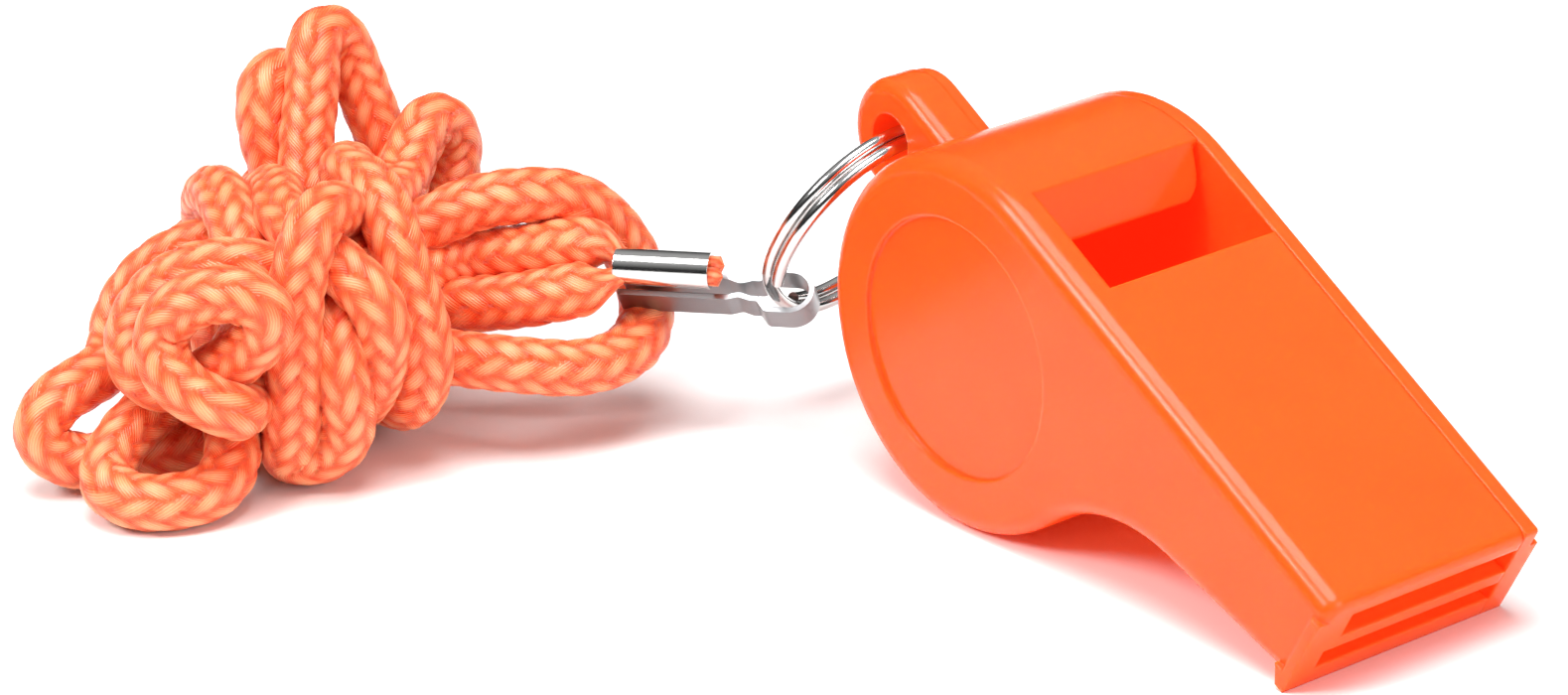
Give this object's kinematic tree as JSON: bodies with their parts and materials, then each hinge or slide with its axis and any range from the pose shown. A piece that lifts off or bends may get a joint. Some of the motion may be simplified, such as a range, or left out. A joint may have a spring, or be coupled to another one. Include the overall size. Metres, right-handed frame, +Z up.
{
  "type": "training whistle",
  "caption": "Orange plastic pea whistle with a split ring, crimped steel clip and a wrapped braided cord.",
  "frame": {"origin": "on the ground under the middle of the whistle with its split ring, the whistle lying on its barrel and the edge of its mouth", "axes": "+X towards the mouth, +Y towards the welded side cover, +Z up"},
  "size_m": [0.0935, 0.0638, 0.026],
  "materials": {
    "shell_plastic": "glossy moulded plastic in safety orange",
    "pea_plastic": "pressed cork granule, matt",
    "ring_steel": "bright nickel plate",
    "clip_steel": "bright nickel plate, satin on the cut faces",
    "cord_braid": "braided filament cord with a silky sheen"
  },
  "bodies": {
    "whistle": {"whistle_body": "shell_plastic", "side_cover": "shell_plastic"},
    "pea": {"pea": "pea_plastic"},
    "ring": {"split_ring": "ring_steel"},
    "clip": {"cord_clip": "clip_steel", "cord_ends": "cord_braid", "cord_tail_near": "cord_braid", "cord_tail_far": "cord_braid", "cord_hank": "cord_braid"}
  },
  "joints": [
    {"name": "pea_orbit", "type": "hinge", "parent": "whistle", "child": "pea", "pos_m": [-0.00639, 0.0003, 0.013], "axis": [0, 1, 0], "range_deg": [-115, 165]},
    {"name": "ring_swing", "type": "hinge", "parent": "whistle", "child": "ring", "pos_m": [-0.02106, 0.0003, 0.02158], "axis": [0, 1, 0], "range_deg": [-18, 140]},
    {"name": "clip_pivot", "type": "hinge", "parent": "ring", "child": "clip", "pos_m": [-0.02683, -0.00727, 0.01], "axis": [0.4367, -0.6525, 0.6193], "range_deg": [-45, 8]}
  ]
}
